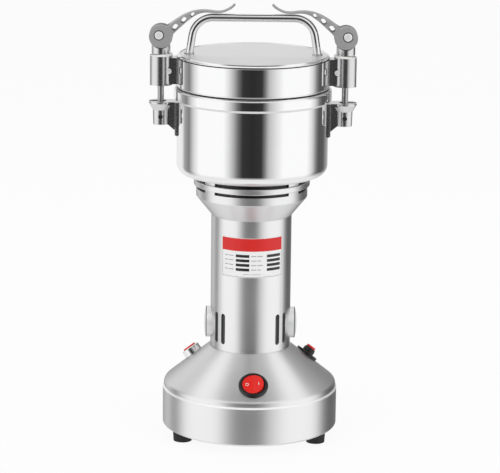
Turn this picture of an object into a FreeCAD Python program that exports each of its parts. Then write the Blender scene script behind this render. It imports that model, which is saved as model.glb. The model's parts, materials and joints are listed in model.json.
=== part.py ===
import FreeCAD, Part
import os
from math import cos, radians, sin, sqrt, tan

# An electric grain mill: a clamped grinding bowl on a motor column and a round base.
# Millimetres. +Z is up, -Y is the front, and the origin is on the floor under the column's axis.

# General clearances
running = 0.05
loose = 0.3
sheet = 1.5

# Base: feet, round wall, bevel, shoulder and cone
foot_height = 10.0
foot_radius = 10.4
foot_inset = 11.8
base_radius = 93.8
base_wall_height = 36.5
bevel_depth = 2.4
bevel_height = 3.5
shoulder_radius = 14.0
cone_slope = 39.2
cone_top_margin = 1.0
base_height = 86.5
lip_width = 27.0
base_screw_inset = 5.8
base_screw_count = 6
screw_tip_reach = 3.0
cone_hole_half_depth = 9.0

# Motor column and its slots
column_radius = 42.8
column_length = 144.0
column_seat_width = 4.8
column_slot_width = 5.6
column_slot_length = 33.5
column_slot_bottom = 7.5
column_slot_azimuths = (42.5, 57.0)
label_height = 42.5
label_drop = 18.0
label_half_angle = 46.5
label_thickness = 0.4

# Vent collar between column and bowl
collar_radius = 59.1
collar_cone_height = 20.2
collar_height = 44.0
collar_band_proud = 2.5
collar_band_height = 5.8
vent_height = 3.6
upper_vent_height = 4.5
vent_top_rim = 1.5
post_azimuth = 48.5
post_angle = 15.0

# Grinding bowl
bowl_radius = 80.0
bowl_height = 92.0
bowl_corner = 11.0
bowl_wall = 1.5
bowl_floor = 2.0
rim_band_proud = 3.3
rim_band_height = 11.0
rim_band_chamfer = 2.8
rim_round = 3.0
bowl_hole_radius = 9.3
bowl_screw_circle = 38.0
mount_ring_height = 7.5
mount_ring_inner = 30.0
mount_ring_outer = 46.0

# Lid, its inner plate, gasket and handle
lid_height = 34.5
lid_round = 3.2
lid_travel = 12.0
plate_depth = 8.5
plate_sheet = 1.2
gasket_width = 4.2
gasket_height = 6.0
gasket_lift = 2.2
handle_tube_radius = 4.2
handle_inset = 12.7
handle_rise = 38.5
handle_bend = 22.0

# Clamps: lug and pad on the lid, swing bolt, saddle, cam lever and bracket
clamp_reach = 17.0
clamp_swing = 140.0
rod_radius = 3.35
lug_radius = 12.25
lug_height = 30.8
lug_drop = 2.0
lug_neck_half_width = 8.5
rivet_radius = 3.0
rivet_inset = 8.5
pad_thickness = 2.3
pad_radius = 12.2
saddle_radius = 10.0
saddle_height = 8.5
cam_above_saddle = 9.8
cam_radius = 12.4
cam_offset_out = 1.9
cam_offset_up = 1.3
eye_radius = 7.6
eye_half_width = 3.9
lever_half_width = 8.4
fork_half_gap = 4.2
fork_depth = 10.6
lever_web = 2.6
lever_channel_length = 38.0
lever_pin_radius = 4.5
lever_pin_proud = 0.8
pivot_eye_radius = 5.0
pivot_pin_radius = 2.5
slot_half_width = 3.75
cup_radius = 9.0
cup_height = 21.5
lip_radius = 13.0
lip_height = 3.4
bracket_drop = 15.5
bracket_height = 35.0
bracket_half_angle = 9.0
bracket_plate = 2.6
web_half_width = 5.0
pivot_above_cup = 9.0

# Cam lever's edges, measured inward and upward from the cam's centre
lever_top = [(6.2, 10.7), (10.6, 13.6), (16.3, 17.9), (24.5, 22.8), (32.7, 26.3), (40.9, 28.2),
             (49.0, 28.2), (58.9, 27.2), (65.5, 28.0), (72.0, 31.3), (76.6, 35.0)]
lever_underside = [(78.2, 32.9), (73.7, 29.0), (65.5, 25.2), (57.3, 24.4), (46.0, 24.7),
                   (37.6, 22.8), (29.4, 17.9), (21.3, 11.3), (14.6, 5.2), (12.0, 1.5)]
lever_holes = [(14.9, 9.6, 2.5, 8.0), (23.9, 17.6, 2.3, 7.2), (33.0, 23.2, 1.8, 5.0)]
lever_hole_tilt = -36.0

# Motor
shaft_radius = 5.0
shaft_above_floor = 29.0
rotor_radius = 21.0
air_gap = 0.6
stator_inset = 3.3
stator_height = 52.0
stator_drop = 8.5
winding_height = 10.0
winding_gap = 1.9
winding_inset = 4.0
bracket_fit = 0.8
bracket_ring_height = 6.0
bracket_arm_width = 8.0
bracket_leg_angle = 12.0
bracket_wall = 4.5
shaft_below_bracket = 6.5
bearing_height = 10.0
lower_bearing_drop = 4.0
upper_hub_drop = 5.0
upper_bearing_radius = 13.0
lower_bearing_radius = 11.0
hub_wall = 4.0
commutator_radius = 12.0
commutator_height = 24.0
fan_radius = 34.0
fan_gap = 4.0
fan_height = 12.0
fan_blades = 9

# Carbon brushes and their caps
brush_height_above_column_foot = 24.3
brush_width = 7.0
brush_depth = 9.0
brush_length = 14.0
holder_radius = 8.7
cap_radius = 16.5
cap_face_radius = 14.6
cap_reach = 49.6
cap_step = 2.6

# Blades
blade_radius = 66.0
blade_width = 17.0
blade_thickness = 2.0
blade_gap = 6.0
blade_lift = 9.0
blade_nut_height = 6.0
blade_nut_radius = 9.0
spacer_radius = 8.5

# Controls on the cone: inset from the base's radius, and azimuth from +X towards +Y
switch_inset = 18.8
switch_azimuth = -87.0
switch_bezel_radius = 15.6
switch_bezel_height = 3.2
switch_body_radius = 13.5
switch_body_depth = 22.0
rocker_radius = 11.4
rocker_gap = 0.55
rocker_half_tilt = 8.0
rocker_dish = 6.0
rocker_centre_height = 3.0
rocker_depth = 3.5
rocker_pivot_radius = 1.2
rocker_pivot_reach = 12.7
well_depth = 7.0
side_inset = 28.3
side_azimuth = 20.7
button_bezel_radius = 10.2
button_bezel_height = 7.0
button_radius = 7.4
button_proud = 1.8
button_length = 14.2
button_stroke = 1.6
button_wall = 1.2
button_body_depth = 14.0
reset_flange_radius = 12.6
reset_flange_height = 2.5
reset_boss_radius = 6.7
reset_boss_height = 8.2
reset_step_height = 6.2
reset_step = 0.7
reset_wall = 1.5
reset_body_depth = 18.0
reset_well_floor = 3.8
reset_nut_height = 3.0
reset_nut_drop = 2.6
reset_nut_wall = 3.5
reset_cap_radius = 5.2
reset_cap_top = 10.4
reset_stroke = 1.5
gland_inset = 21.8
gland_bore = 4.0
gland_radius = 7.0
gland_length = 10.0
gland_flange = 10.0
gland_neck = 7.2
gland_body_depth = 8.0

# Screws
screw_radius = 2.0
screw_head_radius = 4.0
screw_head_height = 2.6

# Heights and radii that follow from the sizes above
base_bottom = foot_height
wall_top = base_bottom + base_wall_height
cone_top = base_bottom + base_height
column_top = cone_top + column_length
collar_cone_top = column_top + collar_cone_height
bowl_bottom = column_top + collar_height
bowl_inside = bowl_bottom + bowl_floor
bowl_rim = bowl_bottom + bowl_height
bowl_inner_radius = bowl_radius - bowl_wall
plate_radius = bowl_inner_radius - loose - gasket_width
lid_radius = bowl_radius
handle_half_span = lid_radius - handle_inset
lid_bottom = bowl_rim + loose
lid_top = lid_bottom + lid_height
lid_underside = lid_top - sheet
foot_circle = base_radius - foot_inset
base_screw_circle = base_radius - base_screw_inset
switch_slant_radius = base_radius - switch_inset
side_slant_radius = base_radius - side_inset
gland_slant_radius = base_radius - gland_inset
shoulder_outer = base_radius - bevel_depth
cone_top_radius = column_radius + cone_top_margin
column_seat_radius = column_radius - column_seat_width
column_bore = column_radius - sheet
mount_ring_bottom = bowl_bottom - mount_ring_height
brush_z = cone_top + brush_height_above_column_foot
lug_top = lid_top - lug_drop
lug_bottom = lug_top - lug_height
pad_top = lug_top + pad_thickness
saddle_bottom = pad_top + loose
clamp_axis_x = bowl_radius + clamp_reach
cam_x = clamp_axis_x
cam_z = saddle_bottom + saddle_height + cam_above_saddle
pin_x = cam_x + cam_offset_out
pin_z = cam_z + cam_offset_up
bracket_top = bowl_rim - bracket_drop
cup_bottom = bracket_top - lip_height - cup_height
pivot_z = cup_bottom + pivot_above_cup
lift_per_radian = lid_travel / radians(clamp_swing)
stator_top = column_top - stator_drop
stator_bottom = stator_top - stator_height
stator_radius = column_bore - stator_inset
winding_inner = rotor_radius + air_gap + winding_gap
winding_outer = stator_radius - winding_inset
fan_bottom = stator_top + winding_height + fan_gap
blade_bottom = bowl_inside + blade_lift


def vector(x, y, z):
    return FreeCAD.Vector(x, y, z)


def save(name, shape):
    shape.exportStep("parts/" + name + ".step")


def mirrored(shape):
    return shape.mirror(vector(0, 0, 0), vector(1, 0, 0))


def save_pair(name, right):
    save(name + "_right", right)
    save(name + "_left", mirrored(right))


def with_mirror(right):
    return Part.Compound([right, mirrored(right)])


def outline(points):
    """A closed wire in the XZ plane. A point is (x, z) or (x, z, rounding radius)."""
    corners = [vector(p[0], 0, p[1]) for p in points]
    rounding = [p[2] if len(p) > 2 else 0 for p in points]
    edges = []
    last = None
    first = None
    for i, corner in enumerate(corners):
        before = (corners[i - 1] - corner).normalize()
        after = (corners[(i + 1) % len(corners)] - corner).normalize()
        if rounding[i]:
            half = before.getAngle(after) / 2
            reach = rounding[i] / tan(half)
            start = corner + before * reach
            end = corner + after * reach
            towards = (before + after).normalize()
            middle = corner + towards * (rounding[i] / sin(half) - rounding[i])
            if last:
                edges.append(Part.makeLine(last, start))
            edges.append(Part.Arc(start, middle, end).toShape())
        else:
            start = corner
            end = corner
            if last:
                edges.append(Part.makeLine(last, start))
        first = first or start
        last = end
    edges.append(Part.makeLine(last, first))
    return Part.Wire(edges)


def turned(points, x=0.0):
    """The outline turned about the vertical line through x."""
    face = Part.Face(outline(points))
    face.translate(vector(x, 0, 0))
    return face.revolve(vector(x, 0, 0), vector(0, 0, 1), 360)


def slab(wire, half_width):
    """A wire in the XZ plane, thickened the same way to both sides along Y."""
    face = Part.Face(wire)
    face.translate(vector(0, -half_width, 0))
    return face.extrude(vector(0, 2 * half_width, 0))


def rod(radius, start, end):
    return Part.makeCylinder(radius, (end - start).Length, start, end - start)


def upright(radius, z0, z1, x=0.0, y=0.0):
    return rod(radius, vector(x, y, z0), vector(x, y, z1))


def ring(inner, outer, z0, z1, x=0.0):
    return upright(outer, z0, z1, x).cut(upright(inner, z0 - 1, z1 + 1, x))


def cross_rod(radius, x, z, half_length):
    """A cylinder along Y, centred on the XZ plane."""
    return rod(radius, vector(x, -half_length, z), vector(x, half_length, z))


def block(x0, x1, y0, y1, z0, z1):
    return Part.makeBox(x1 - x0, y1 - y0, z1 - z0, vector(x0, y0, z0))


def ring_sector(inner, outer, z0, z1, start, sweep):
    """Part of a ring, from azimuth start over sweep degrees, counted from +X towards +Y."""
    face = Part.Face(outline([(inner, z0), (outer, z0), (outer, z1), (inner, z1)]))
    face.rotate(vector(0, 0, 0), vector(0, 0, 1), start)
    return face.revolve(vector(0, 0, 0), vector(0, 0, 1), sweep)


def turned_to(shape, azimuth):
    copy = shape.copy()
    copy.rotate(vector(0, 0, 0), vector(0, 0, 1), azimuth)
    return copy


def around(shape, count, start=0.0):
    return [turned_to(shape, start + 360.0 * i / count) for i in range(count)]


def cone_height(radius):
    """The cone's outer surface at a distance from the axis."""
    return cone_top - (radius - cone_top_radius) * tan(radians(cone_slope))


def on_cone(shape, slant_radius, azimuth):
    """Moves a shape built up from the origin along +Z onto the cone, square to its surface."""
    placed = shape.copy()
    placed.rotate(vector(0, 0, 0), vector(0, 1, 0), cone_slope)
    placed.translate(vector(slant_radius, 0, cone_height(slant_radius)))
    return turned_to(placed, azimuth)


def screw(x, y, head_bottom, tip, head_up=True):
    """A pan head screw. Its head is above head_bottom, or below it where head_up is false."""
    side = 1 if head_up else -1
    head = upright(screw_head_radius, head_bottom, head_bottom + side * screw_head_height, x, y)
    return head.fuse(upright(screw_radius, head_bottom, tip, x, y)).removeSplitter()


def circle_places(radius, count, start):
    angles = [radians(start + 360.0 * i / count) for i in range(count)]
    return [(radius * cos(a), radius * sin(a)) for a in angles]


feet_places = circle_places(foot_circle, 3, 90)
base_screw_places = circle_places(base_screw_circle, base_screw_count, 0)
bowl_screw_places = circle_places(bowl_screw_circle, 4, 45)


def base_envelope():
    """The base as a filled solid: what every piece on the cone is seated against."""
    return turned([
        (0, base_bottom), (base_radius, base_bottom), (base_radius, wall_top),
        (shoulder_outer, wall_top + bevel_height),
        (shoulder_outer, cone_height(shoulder_outer), shoulder_radius),
        (cone_top_radius, cone_top), (0, cone_top)])


def cone_hole(radius, slant_radius, azimuth):
    """The hole through the cone's sheet for a fitting's body, with its clearance."""
    hole = upright(radius + loose, -cone_hole_half_depth, cone_hole_half_depth)
    return on_cone(hole, slant_radius, azimuth)


def base_shell():
    inner_drop = sheet / cos(radians(cone_slope))
    inner_top_radius = cone_top_radius - (inner_drop - sheet) / tan(radians(cone_slope))
    inner_shoulder = shoulder_outer - sheet
    lip_inner = base_radius - lip_width
    shell = turned([
        (lip_inner, base_bottom), (base_radius, base_bottom, 2.0), (base_radius, wall_top),
        (shoulder_outer, wall_top + bevel_height),
        (shoulder_outer, cone_height(shoulder_outer), shoulder_radius),
        (cone_top_radius, cone_top), (column_seat_radius, cone_top),
        (column_seat_radius, cone_top - sheet), (inner_top_radius, cone_top - sheet),
        (inner_shoulder, cone_height(inner_shoulder) - inner_drop, shoulder_radius - sheet),
        (inner_shoulder, wall_top + bevel_height), (base_radius - sheet, wall_top),
        (base_radius - sheet, base_bottom + sheet), (lip_inner, base_bottom + sheet)])
    holes = [
        cone_hole(switch_body_radius, switch_slant_radius, switch_azimuth),
        cone_hole(button_radius + button_wall, side_slant_radius, 180 - side_azimuth),
        cone_hole(reset_boss_radius + reset_wall, side_slant_radius, side_azimuth),
        cone_hole(gland_neck, gland_slant_radius, 90)]
    for x, y in feet_places + base_screw_places:
        holes.append(upright(screw_radius + running, 0, base_bottom + 2 * sheet, x, y))
    return shell.cut(holes)


def base_plate():
    plate_z = base_bottom + sheet
    plate = upright(base_radius - sheet - loose, plate_z, plate_z + sheet)
    places = feet_places + base_screw_places
    return plate.cut([upright(screw_radius + running, 0, plate_z + 3, x, y) for x, y in places])


def base_plate_screws():
    tip = base_bottom + 2 * sheet + screw_tip_reach
    return Part.Compound([screw(x, y, base_bottom, tip, False) for x, y in base_screw_places])


def rubber_feet():
    recess = foot_height / 2
    feet = []
    for x, y in feet_places:
        foot = Part.makeCone(foot_radius - 0.6, foot_radius, foot_height, vector(x, y, 0))
        head_room = upright(screw_head_radius + 0.4, -1, recess, x, y)
        hole = upright(screw_radius + running, 0, foot_height, x, y)
        feet.append(foot.cut([head_room, hole]))
    return Part.Compound(feet)


def foot_screws():
    tip = base_bottom + 2 * sheet + screw_tip_reach
    head = foot_height / 2
    return Part.Compound([screw(x, y, head, tip, False) for x, y in feet_places])


def motor_column():
    column = ring(column_bore, column_radius, cone_top, column_top)
    low = cone_top + column_slot_bottom + column_slot_width / 2
    high = low + column_slot_length - column_slot_width
    half = column_slot_width / 2
    inside = column_radius / 2
    outside = column_radius + 5
    slot = block(inside, outside, -half, half, low, high)
    slot = slot.fuse([rod(half, vector(inside, 0, z), vector(outside, 0, z)) for z in (low, high)])
    cuts = []
    for azimuth in column_slot_azimuths:
        for way in (-90 - azimuth, -90 + azimuth, 90 - azimuth, 90 + azimuth):
            cuts.append(turned_to(slot, way))
    cuts.append(rod(holder_radius + loose, vector(-60, 0, brush_z), vector(60, 0, brush_z)))
    return column.cut(cuts)


def label_plate():
    top = column_top - label_drop
    inner = column_radius + running
    return ring_sector(inner, inner + label_thickness, top - label_height, top,
                       -90 - label_half_angle, 2 * label_half_angle)


def vent_collar():
    band_outer = collar_radius + collar_band_proud
    band_top = bowl_bottom - vent_top_rim - upper_vent_height
    band_bottom = band_top - collar_band_height
    inner = collar_radius - sheet
    collar = turned([
        (column_radius, column_top), (collar_radius, collar_cone_top, 1.5),
        (collar_radius, band_bottom), (band_outer, band_bottom, 0.6), (band_outer, band_top, 0.6),
        (collar_radius, band_top), (collar_radius, bowl_bottom), (inner, bowl_bottom),
        (inner, collar_cone_top + 0.5), (column_bore, column_top + 0.5), (column_bore, column_top)])
    upper = (band_top, band_top + upper_vent_height)
    lower = (band_bottom - vent_height, band_bottom)
    front = 2 * (post_azimuth - post_angle / 2)
    side = 180 - 2 * (post_azimuth + post_angle / 2)
    cuts = []
    for low, high in (upper, lower):
        for middle, sweep in ((-90, front), (0, side), (90, front), (180, side)):
            cuts.append(ring_sector(inner - 2, band_outer + 2, low, high,
                                    middle - sweep / 2, sweep))
    return collar.cut(cuts)


def bowl_mount_ring():
    body = ring(mount_ring_inner, mount_ring_outer, mount_ring_bottom, bowl_bottom)
    return body.cut([upright(screw_radius, mount_ring_bottom - 1, bowl_bottom + 1, x, y)
                     for x, y in bowl_screw_places])


def grinding_bowl():
    band_outer = bowl_radius + rim_band_proud
    band_bottom = bowl_rim - rim_band_height
    bowl = turned([
        (bowl_hole_radius, bowl_bottom), (bowl_radius, bowl_bottom, bowl_corner),
        (bowl_radius, band_bottom - rim_band_chamfer), (band_outer, band_bottom),
        (band_outer, bowl_rim, rim_round), (bowl_inner_radius, bowl_rim, 0.8),
        (bowl_inner_radius, bowl_inside, bowl_corner - bowl_wall), (bowl_hole_radius, bowl_inside)])
    return bowl.cut([upright(screw_radius + running, bowl_bottom - 1, bowl_inside + 1, x, y)
                     for x, y in bowl_screw_places])


def bowl_screws():
    tip = mount_ring_bottom - bracket_ring_height + 1
    return Part.Compound([screw(x, y, bowl_inside, tip) for x, y in bowl_screw_places])


def clamp_bracket():
    """The right bracket: a flared cup with a slot outward, a top plate, a web and a weld plate."""
    cup = turned([
        (0, cup_bottom), (cup_radius - 0.4, cup_bottom, 0.8), (cup_radius, bracket_top - 9),
        (lip_radius, bracket_top - lip_height + 1.6), (lip_radius, bracket_top, 0.8),
        (0, bracket_top)], clamp_axis_x)
    plate = block(bowl_radius - 5, clamp_axis_x, -cup_radius - 1, cup_radius + 1,
                  bracket_top - lip_height, bracket_top)
    web = slab(outline([
        (bowl_radius - 5, bracket_top - 1), (clamp_axis_x, bracket_top - 1),
        (clamp_axis_x, cup_bottom + 3), (clamp_axis_x - cup_radius + 1, cup_bottom),
        (bowl_radius - 5, cup_bottom - 12)]), web_half_width)
    weld = ring_sector(bowl_radius, bowl_radius + bracket_plate, bracket_top - bracket_height,
                       bracket_top, -bracket_half_angle, 2 * bracket_half_angle)
    bowl_wall_space = upright(bowl_radius, bowl_bottom, bowl_rim)
    slot = block(clamp_axis_x - pivot_eye_radius - 0.5, clamp_axis_x + 2 * lip_radius,
                 -slot_half_width, slot_half_width, pivot_z - pivot_eye_radius - loose,
                 bracket_top + 1)
    low_slot = block(clamp_axis_x, clamp_axis_x + 2 * lip_radius,
                     -slot_half_width, slot_half_width,
                     pivot_z - rod_radius - loose, pivot_z + pivot_eye_radius)
    low_slot.rotate(vector(clamp_axis_x, 0, pivot_z), vector(0, 1, 0), clamp_swing - 90)
    pin_hole = cross_rod(pivot_pin_radius, clamp_axis_x, pivot_z, 2 * cup_radius)
    below = block(0, 2 * bowl_radius, -bowl_radius, bowl_radius, 0, bracket_top - bracket_height)
    body = cup.fuse([plate, web, weld])
    return body.cut([bowl_wall_space, slot, low_slot, pin_hole, below]).removeSplitter()


def clamp_pivot_pins():
    return with_mirror(cross_rod(pivot_pin_radius, clamp_axis_x, pivot_z, cup_radius - 0.2))


def clamp_bolt():
    """The right swing bolt: a lower eye on the pivot pin, a round rod and the cam pin's eye."""
    lower_eye = cross_rod(pivot_eye_radius, clamp_axis_x, pivot_z, rod_radius)
    stem = upright(rod_radius, pivot_z, pin_z, clamp_axis_x)
    upper_eye = cross_rod(eye_radius, pin_x, pin_z, eye_half_width)
    holes = [cross_rod(pivot_pin_radius + running, clamp_axis_x, pivot_z, 20),
             cross_rod(lever_pin_radius + running, pin_x, pin_z, 20)]
    return lower_eye.fuse([stem, upper_eye]).cut(holes).removeSplitter()


def clamp_saddle():
    body = ring(rod_radius, saddle_radius, saddle_bottom, saddle_bottom + saddle_height,
                clamp_axis_x)
    return body.cut(cross_rod(cam_radius + loose, cam_x, cam_z, 20))


def clamp_slot(low, high):
    """The way out for the right swing bolt's rod: a round hole open towards the outside."""
    way = block(clamp_axis_x, clamp_axis_x + 2 * lug_radius, -fork_half_gap, fork_half_gap,
                low, high)
    return way.fuse(upright(fork_half_gap, low, high, clamp_axis_x))


def clamp_pad():
    """The right pad, on the lug. Its top falls away outwards, clear of the saddle's swing."""
    pad = upright(pad_radius, lug_top, pad_top, clamp_axis_x)
    start = clamp_axis_x - lift_per_radian
    swing = cross_rod(pad_top - pivot_z, start, pivot_z, 2 * pad_radius)
    fall = block(start, clamp_axis_x + 2 * pad_radius, -pad_radius, pad_radius,
                 lug_top - 1, pad_top + 1).cut(swing)
    return pad.cut([clamp_slot(lug_top - 1, pad_top + 1), fall])


def curve(points):
    spline = Part.BSplineCurve()
    spline.interpolate([vector(cam_x - x, 0, cam_z + z) for x, z in points])
    return spline.toShape()


def lever_arm_wire():
    tip = Part.makeLine(vector(cam_x - lever_top[-1][0], 0, cam_z + lever_top[-1][1]),
                        vector(cam_x - lever_underside[0][0], 0, cam_z + lever_underside[0][1]))
    root = Part.makeLine(vector(cam_x - lever_underside[-1][0], 0, cam_z + lever_underside[-1][1]),
                         vector(cam_x - lever_top[0][0], 0, cam_z + lever_top[0][1]))
    return Part.Wire([curve(lever_top), tip, curve(lever_underside), root])


def oval_hole(inward, up, radius, length):
    """A round-ended hole across the lever's arm."""
    half = length / 2
    hole = slab(outline([(-radius, -half, radius * 0.98), (radius, -half, radius * 0.98),
                         (radius, half, radius * 0.98), (-radius, half, radius * 0.98)]), 20)
    hole.rotate(vector(0, 0, 0), vector(0, 1, 0), lever_hole_tilt)
    hole.translate(vector(cam_x - inward, 0, cam_z + up))
    return hole


def cam_lever():
    """The right lever: two cam discs, a channel-shaped arm with three holes and a flat tail."""
    reach = lever_underside[0][0] + 2
    plan = block(cam_x - reach, cam_x + 20, -lever_half_width, lever_half_width,
                 cam_z - 20, cam_z + 50)
    tip_corners = [e for e in plan.Edges
                   if e.BoundBox.XMax < cam_x - reach + 0.1 and e.BoundBox.ZLength > 60]
    plan = plan.makeFillet(lever_half_width * 0.7, tip_corners)
    arm = slab(lever_arm_wire(), lever_half_width).common(plan)
    disc = cross_rod(cam_radius, cam_x, cam_z, lever_half_width)
    fork = block(pin_x - fork_depth, cam_x + 30, -fork_half_gap, fork_half_gap,
                 cam_z - 30, cam_z + 30)
    channel = slab(lever_arm_wire(), fork_half_gap)
    channel.translate(vector(0, 0, -lever_web))
    channel = channel.common(block(cam_x - lever_channel_length, cam_x + 30, -20, 20, 0, 999))
    pin_hole = cross_rod(lever_pin_radius, pin_x, pin_z, 20)
    cuts = [fork, channel, pin_hole] + [oval_hole(*hole) for hole in lever_holes]
    return disc.fuse(arm).cut(cuts)


def lever_pin():
    pin = cross_rod(lever_pin_radius, pin_x, pin_z, lever_half_width + lever_pin_proud)
    return pin.makeChamfer(0.7, [pin.Edges[0], pin.Edges[2]])


def lid_shell():
    return turned([
        (0, lid_underside), (lid_radius - sheet, lid_underside, lid_round - sheet),
        (lid_radius - sheet, lid_bottom), (lid_radius, lid_bottom),
        (lid_radius, lid_top, lid_round), (0, lid_top)])


def lid_inner_plate():
    floor = bowl_rim - plate_depth
    return turned([
        (0, floor), (plate_radius, floor, 2.0), (plate_radius, lid_underside),
        (plate_radius - plate_sheet, lid_underside),
        (plate_radius - plate_sheet, floor + plate_sheet, 0.8), (0, floor + plate_sheet)])


def lid_gasket():
    low = bowl_rim - plate_depth + gasket_lift
    outer = bowl_inner_radius - loose
    return turned([
        (plate_radius, low), (outer, low, 1.2), (outer, low + gasket_height, 1.2),
        (plate_radius, low + gasket_height)])


def lid_handle():
    bar = lid_top + handle_rise
    bend_z = bar - handle_bend
    bend_x = handle_half_span - handle_bend
    diagonal = handle_bend / sqrt(2)
    left = [vector(-handle_half_span, 0, lid_top), vector(-handle_half_span, 0, bend_z),
            vector(-bend_x - diagonal, 0, bend_z + diagonal), vector(-bend_x, 0, bar)]
    right = [vector(-p.x, 0, p.z) for p in left]
    path = Part.Wire([
        Part.makeLine(left[0], left[1]), Part.Arc(left[1], left[2], left[3]).toShape(),
        Part.makeLine(left[3], right[3]), Part.Arc(right[3], right[2], right[1]).toShape(),
        Part.makeLine(right[1], right[0])])
    section = Part.Wire(Part.makeCircle(handle_tube_radius, left[0], vector(0, 0, 1)))
    return path.makePipeShell([section], True, False)


def lid_lug():
    """The right lug: a slotted sleeve for the swing bolt, on a neck welded to the lid's skirt."""
    sleeve = upright(lug_radius, lug_bottom, lug_top, clamp_axis_x)
    neck = block(lid_radius - 5, clamp_axis_x, -lug_neck_half_width, lug_neck_half_width,
                 lug_bottom + 1.5, lug_top - 1.5)
    slot = clamp_slot(lug_bottom - 1, lug_top + 1)
    rivet = cross_rod(rivet_radius, clamp_axis_x - rivet_inset, (lug_bottom + lug_top) / 2,
                      2 * lug_radius)
    lid = upright(lid_radius, lug_bottom - 1, lug_top + 1)
    return sleeve.fuse(neck).cut([slot, rivet, lid]).removeSplitter()


def lug_rivets():
    x = clamp_axis_x - rivet_inset
    half = sqrt(lug_radius ** 2 - rivet_inset ** 2) + 0.9
    rivet = cross_rod(rivet_radius, x, (lug_bottom + lug_top) / 2, half)
    return with_mirror(rivet.makeChamfer(0.5, [rivet.Edges[0], rivet.Edges[2]]))


def motor_shaft():
    return upright(shaft_radius, cone_top - shaft_below_bracket, bowl_inside + shaft_above_floor)


def rotor_core():
    core = ring(shaft_radius, rotor_radius, stator_bottom, stator_top)
    notch = block(rotor_radius - 6, rotor_radius + 1, -0.9, 0.9, stator_bottom - 1, stator_top + 1)
    return core.cut(around(notch, 12))


def commutator():
    half = commutator_height / 2
    return ring(shaft_radius, commutator_radius, brush_z - half, brush_z + half)


def cooling_fan():
    hub = ring(shaft_radius, shaft_radius + 5, fan_bottom, fan_bottom + fan_height)
    disc = ring(shaft_radius + 4, fan_radius, fan_bottom, fan_bottom + sheet)
    blade = block(shaft_radius + 4, fan_radius - 1, -0.8, 0.8, fan_bottom, fan_bottom + fan_height)
    return hub.fuse([disc] + around(blade, fan_blades)).removeSplitter()


def stator_core():
    return ring(rotor_radius + air_gap, stator_radius, stator_bottom, stator_top)


def stator_windings():
    return Part.Compound([
        ring(winding_inner, winding_outer, stator_top, stator_top + winding_height),
        ring(winding_inner, winding_outer, stator_bottom - winding_height, stator_bottom)])


def spider(hub_bore, hub_low, hub_high, ring_low, leg_low, leg_high):
    """A bearing bracket: a hub, four arms, an outer ring and four legs against the stator."""
    outer = column_bore - bracket_fit
    inner = outer - bracket_wall
    ring_high = ring_low + bracket_ring_height
    hub = ring(hub_bore, hub_bore + hub_wall, hub_low, hub_high)
    rim = ring(inner, outer, ring_low, ring_high)
    half = bracket_arm_width / 2
    arm = block(hub_bore + hub_wall - 1, inner + 1, -half, half, ring_low, ring_high)
    leg = ring_sector(inner, outer, leg_low, leg_high, -bracket_leg_angle / 2, bracket_leg_angle)
    return hub.fuse([rim] + around(arm, 4, 45) + around(leg, 4, 45)).removeSplitter()


def upper_bracket():
    low = mount_ring_bottom - bracket_ring_height
    body = spider(upper_bearing_radius, low - upper_hub_drop, mount_ring_bottom, low,
                  stator_top, low + 1)
    return body.cut([upright(screw_radius, low - 1, mount_ring_bottom + 1, x, y)
                     for x, y in bowl_screw_places])


def upper_bearing():
    high = mount_ring_bottom
    return ring(shaft_radius + running, upper_bearing_radius, high - bearing_height, high)


def lower_bracket():
    ring_high = cone_top + bracket_ring_height
    return spider(lower_bearing_radius, cone_top - lower_bearing_drop, ring_high, cone_top,
                  ring_high - 1, stator_bottom)


def lower_bearing():
    low = cone_top - lower_bearing_drop
    return ring(shaft_radius + running, lower_bearing_radius, low, low + bearing_height)


def shaft_seal():
    flange_top = bowl_inside + 1.5
    bore = shaft_radius + 2 * running
    body = ring(bore, bowl_hole_radius - loose, bowl_bottom - 3, flange_top)
    return body.fuse(ring(bore, bowl_hole_radius + 3, bowl_inside, flange_top)).removeSplitter()


def brush_holders():
    start = commutator_radius + 4
    end = cap_reach - 2 * cap_step
    tube = rod(holder_radius, vector(start, 0, brush_z), vector(end, 0, brush_z))
    width = brush_width / 2 + 0.2
    depth = brush_depth / 2 + 0.2
    channel = block(start - 1, end + 1, -width, width, brush_z - depth, brush_z + depth)
    return with_mirror(tube.cut(channel))


def carbon_brushes():
    start = commutator_radius + loose
    half_width = brush_width / 2
    half_depth = brush_depth / 2
    return with_mirror(block(start, start + brush_length, -half_width, half_width,
                             brush_z - half_depth, brush_z + half_depth))


def brush_springs():
    start = commutator_radius + loose + brush_length
    end = cap_reach - 2 * cap_step
    outer = rod(3.3, vector(start, 0, brush_z), vector(end, 0, brush_z))
    return with_mirror(outer.cut(rod(2.5, vector(0, 0, brush_z), vector(60, 0, brush_z))))


def brush_cap():
    step_x = cap_reach - cap_step
    body = rod(cap_radius, vector(column_radius / 2, 0, brush_z), vector(step_x, 0, brush_z))
    face = rod(cap_face_radius, vector(step_x - 1, 0, brush_z), vector(cap_reach, 0, brush_z))
    bore = rod(holder_radius + loose, vector(0, 0, brush_z),
               vector(cap_reach - 2 * cap_step, 0, brush_z))
    slot = block(cap_reach - 1.2, cap_reach + 1, -9, 9, brush_z - 1, brush_z + 1)
    column = upright(column_radius, cone_top - 9, column_top)
    return body.fuse(face).cut([column, bore, slot]).removeSplitter()


def blade_spacers():
    low = bowl_inside + 1.5 + loose
    gap_low = blade_bottom + blade_thickness
    return Part.Compound([
        ring(shaft_radius, spacer_radius, low, blade_bottom),
        ring(shaft_radius, spacer_radius, gap_low, gap_low + blade_gap)])


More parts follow.
